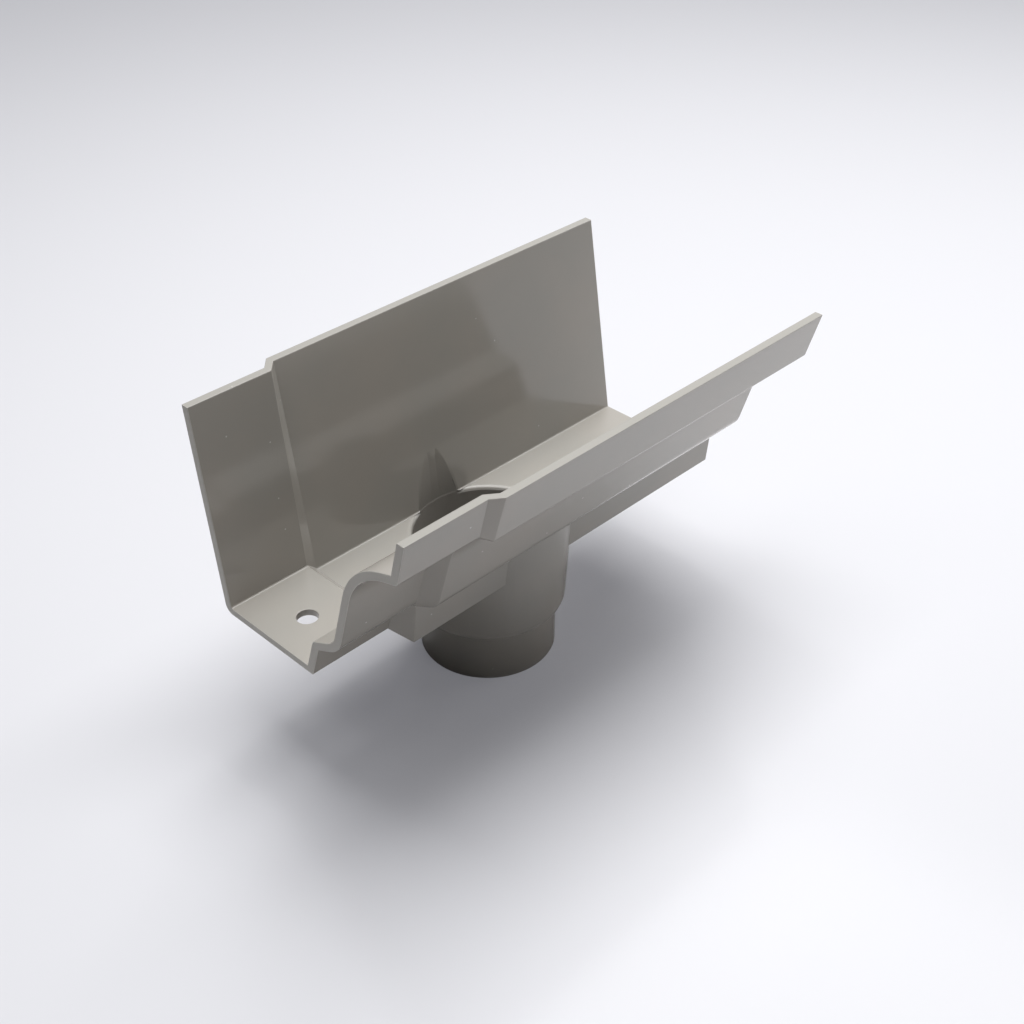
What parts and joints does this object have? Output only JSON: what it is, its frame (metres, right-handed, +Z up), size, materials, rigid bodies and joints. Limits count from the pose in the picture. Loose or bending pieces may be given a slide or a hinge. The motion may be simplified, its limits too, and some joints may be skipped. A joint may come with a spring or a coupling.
{
  "type": "gutter outlet",
  "caption": "Moulded ogee gutter running outlet: joggled spigot end with a bolt hole, plain socket end, and a tapered round spout.",
  "frame": {"origin": "centre of the round spout's bottom rim, which the outlet stands on", "axes": "+X along the gutter from the joggled spigot end to the socket end, +Y to the tall plain rear wall, +Z up the spout's axis"},
  "size_m": [0.253, 0.1468, 0.1705],
  "materials": {
    "stone_grey_moulding": "satin moulded faces, matte trimmed edges"
  },
  "bodies": {
    "root": {"gutter_outlet": "stone_grey_moulding"}
  },
  "joints": []
}
